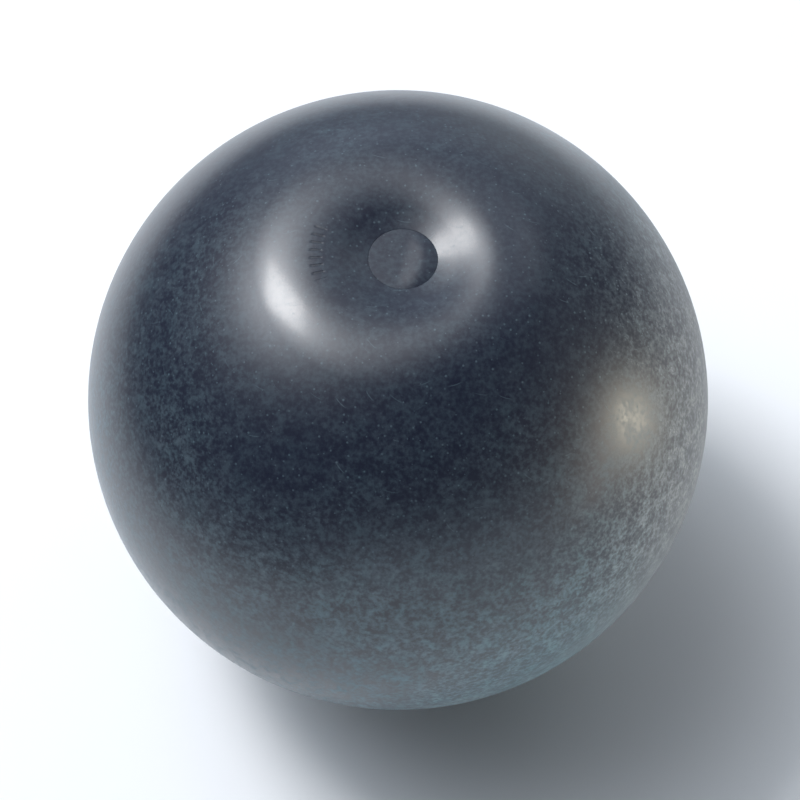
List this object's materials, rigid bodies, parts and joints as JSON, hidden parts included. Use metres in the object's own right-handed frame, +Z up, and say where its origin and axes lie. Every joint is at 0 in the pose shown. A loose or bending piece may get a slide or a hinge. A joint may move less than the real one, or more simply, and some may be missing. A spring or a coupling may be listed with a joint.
{
  "type": "case opening friction ball",
  "caption": "Hollow air-filled tacky rubber ball with a navel and a plugged inflation port, pressed on a screw-down watch case back and turned to unscrew it.",
  "frame": {"origin": "the point the ball stands on, straight under its centre", "axes": "+Z up along the axis of the inflation port, through the ball's centre; the ball is round about Z, so +X and +Y are free"},
  "size_m": [0.065, 0.065, 0.0629],
  "materials": {
    "ball_skin": "matte tacky, dusted with light lint",
    "valve_collar": "matte, moulded",
    "port_plug": "smooth satin, moulded"
  },
  "bodies": {
    "ball": {"ball_skin": "ball_skin", "valve_collar": "valve_collar"},
    "plug": {"port_plug": "port_plug"}
  },
  "joints": [
    {"name": "plug_pull", "type": "slide", "parent": "ball", "child": "plug", "axis": [0, 0, 1], "range_m": [0, 0.02]}
  ]
}
